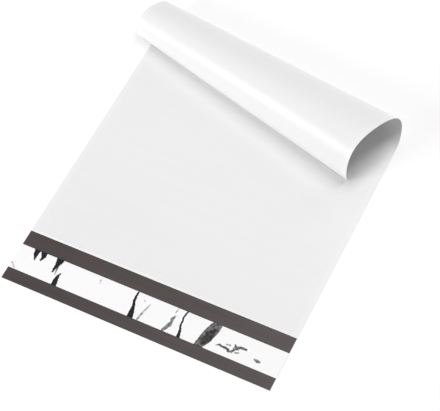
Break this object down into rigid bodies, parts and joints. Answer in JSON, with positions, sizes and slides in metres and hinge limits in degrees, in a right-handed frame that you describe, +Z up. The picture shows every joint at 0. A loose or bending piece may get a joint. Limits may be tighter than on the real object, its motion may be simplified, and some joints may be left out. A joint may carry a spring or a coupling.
{
  "type": "poly mailer bag",
  "caption": "Flat plastic mailing bag with an open mouth and a peel-and-seal flap, its closed end rolled over into a loose cone.",
  "frame": {"origin": "underside of the bag, at the middle of the mouth line", "axes": "+X across the bag, +Y from the mouth to the closed end, +Z up off the table; the flap lies at -Y"},
  "size_m": [0.2694, 0.3092, 0.0413],
  "materials": {
    "mailer_film": "co-extruded polyethylene film, white and softly glossy outside, dark warm grey inside",
    "adhesive": "tacky hot-melt adhesive",
    "liner": "glossy siliconised release film"
  },
  "bodies": {
    "root": {"mailer_film": "mailer_film", "adhesive_strip": "adhesive", "release_liner": "liner"}
  },
  "joints": []
}
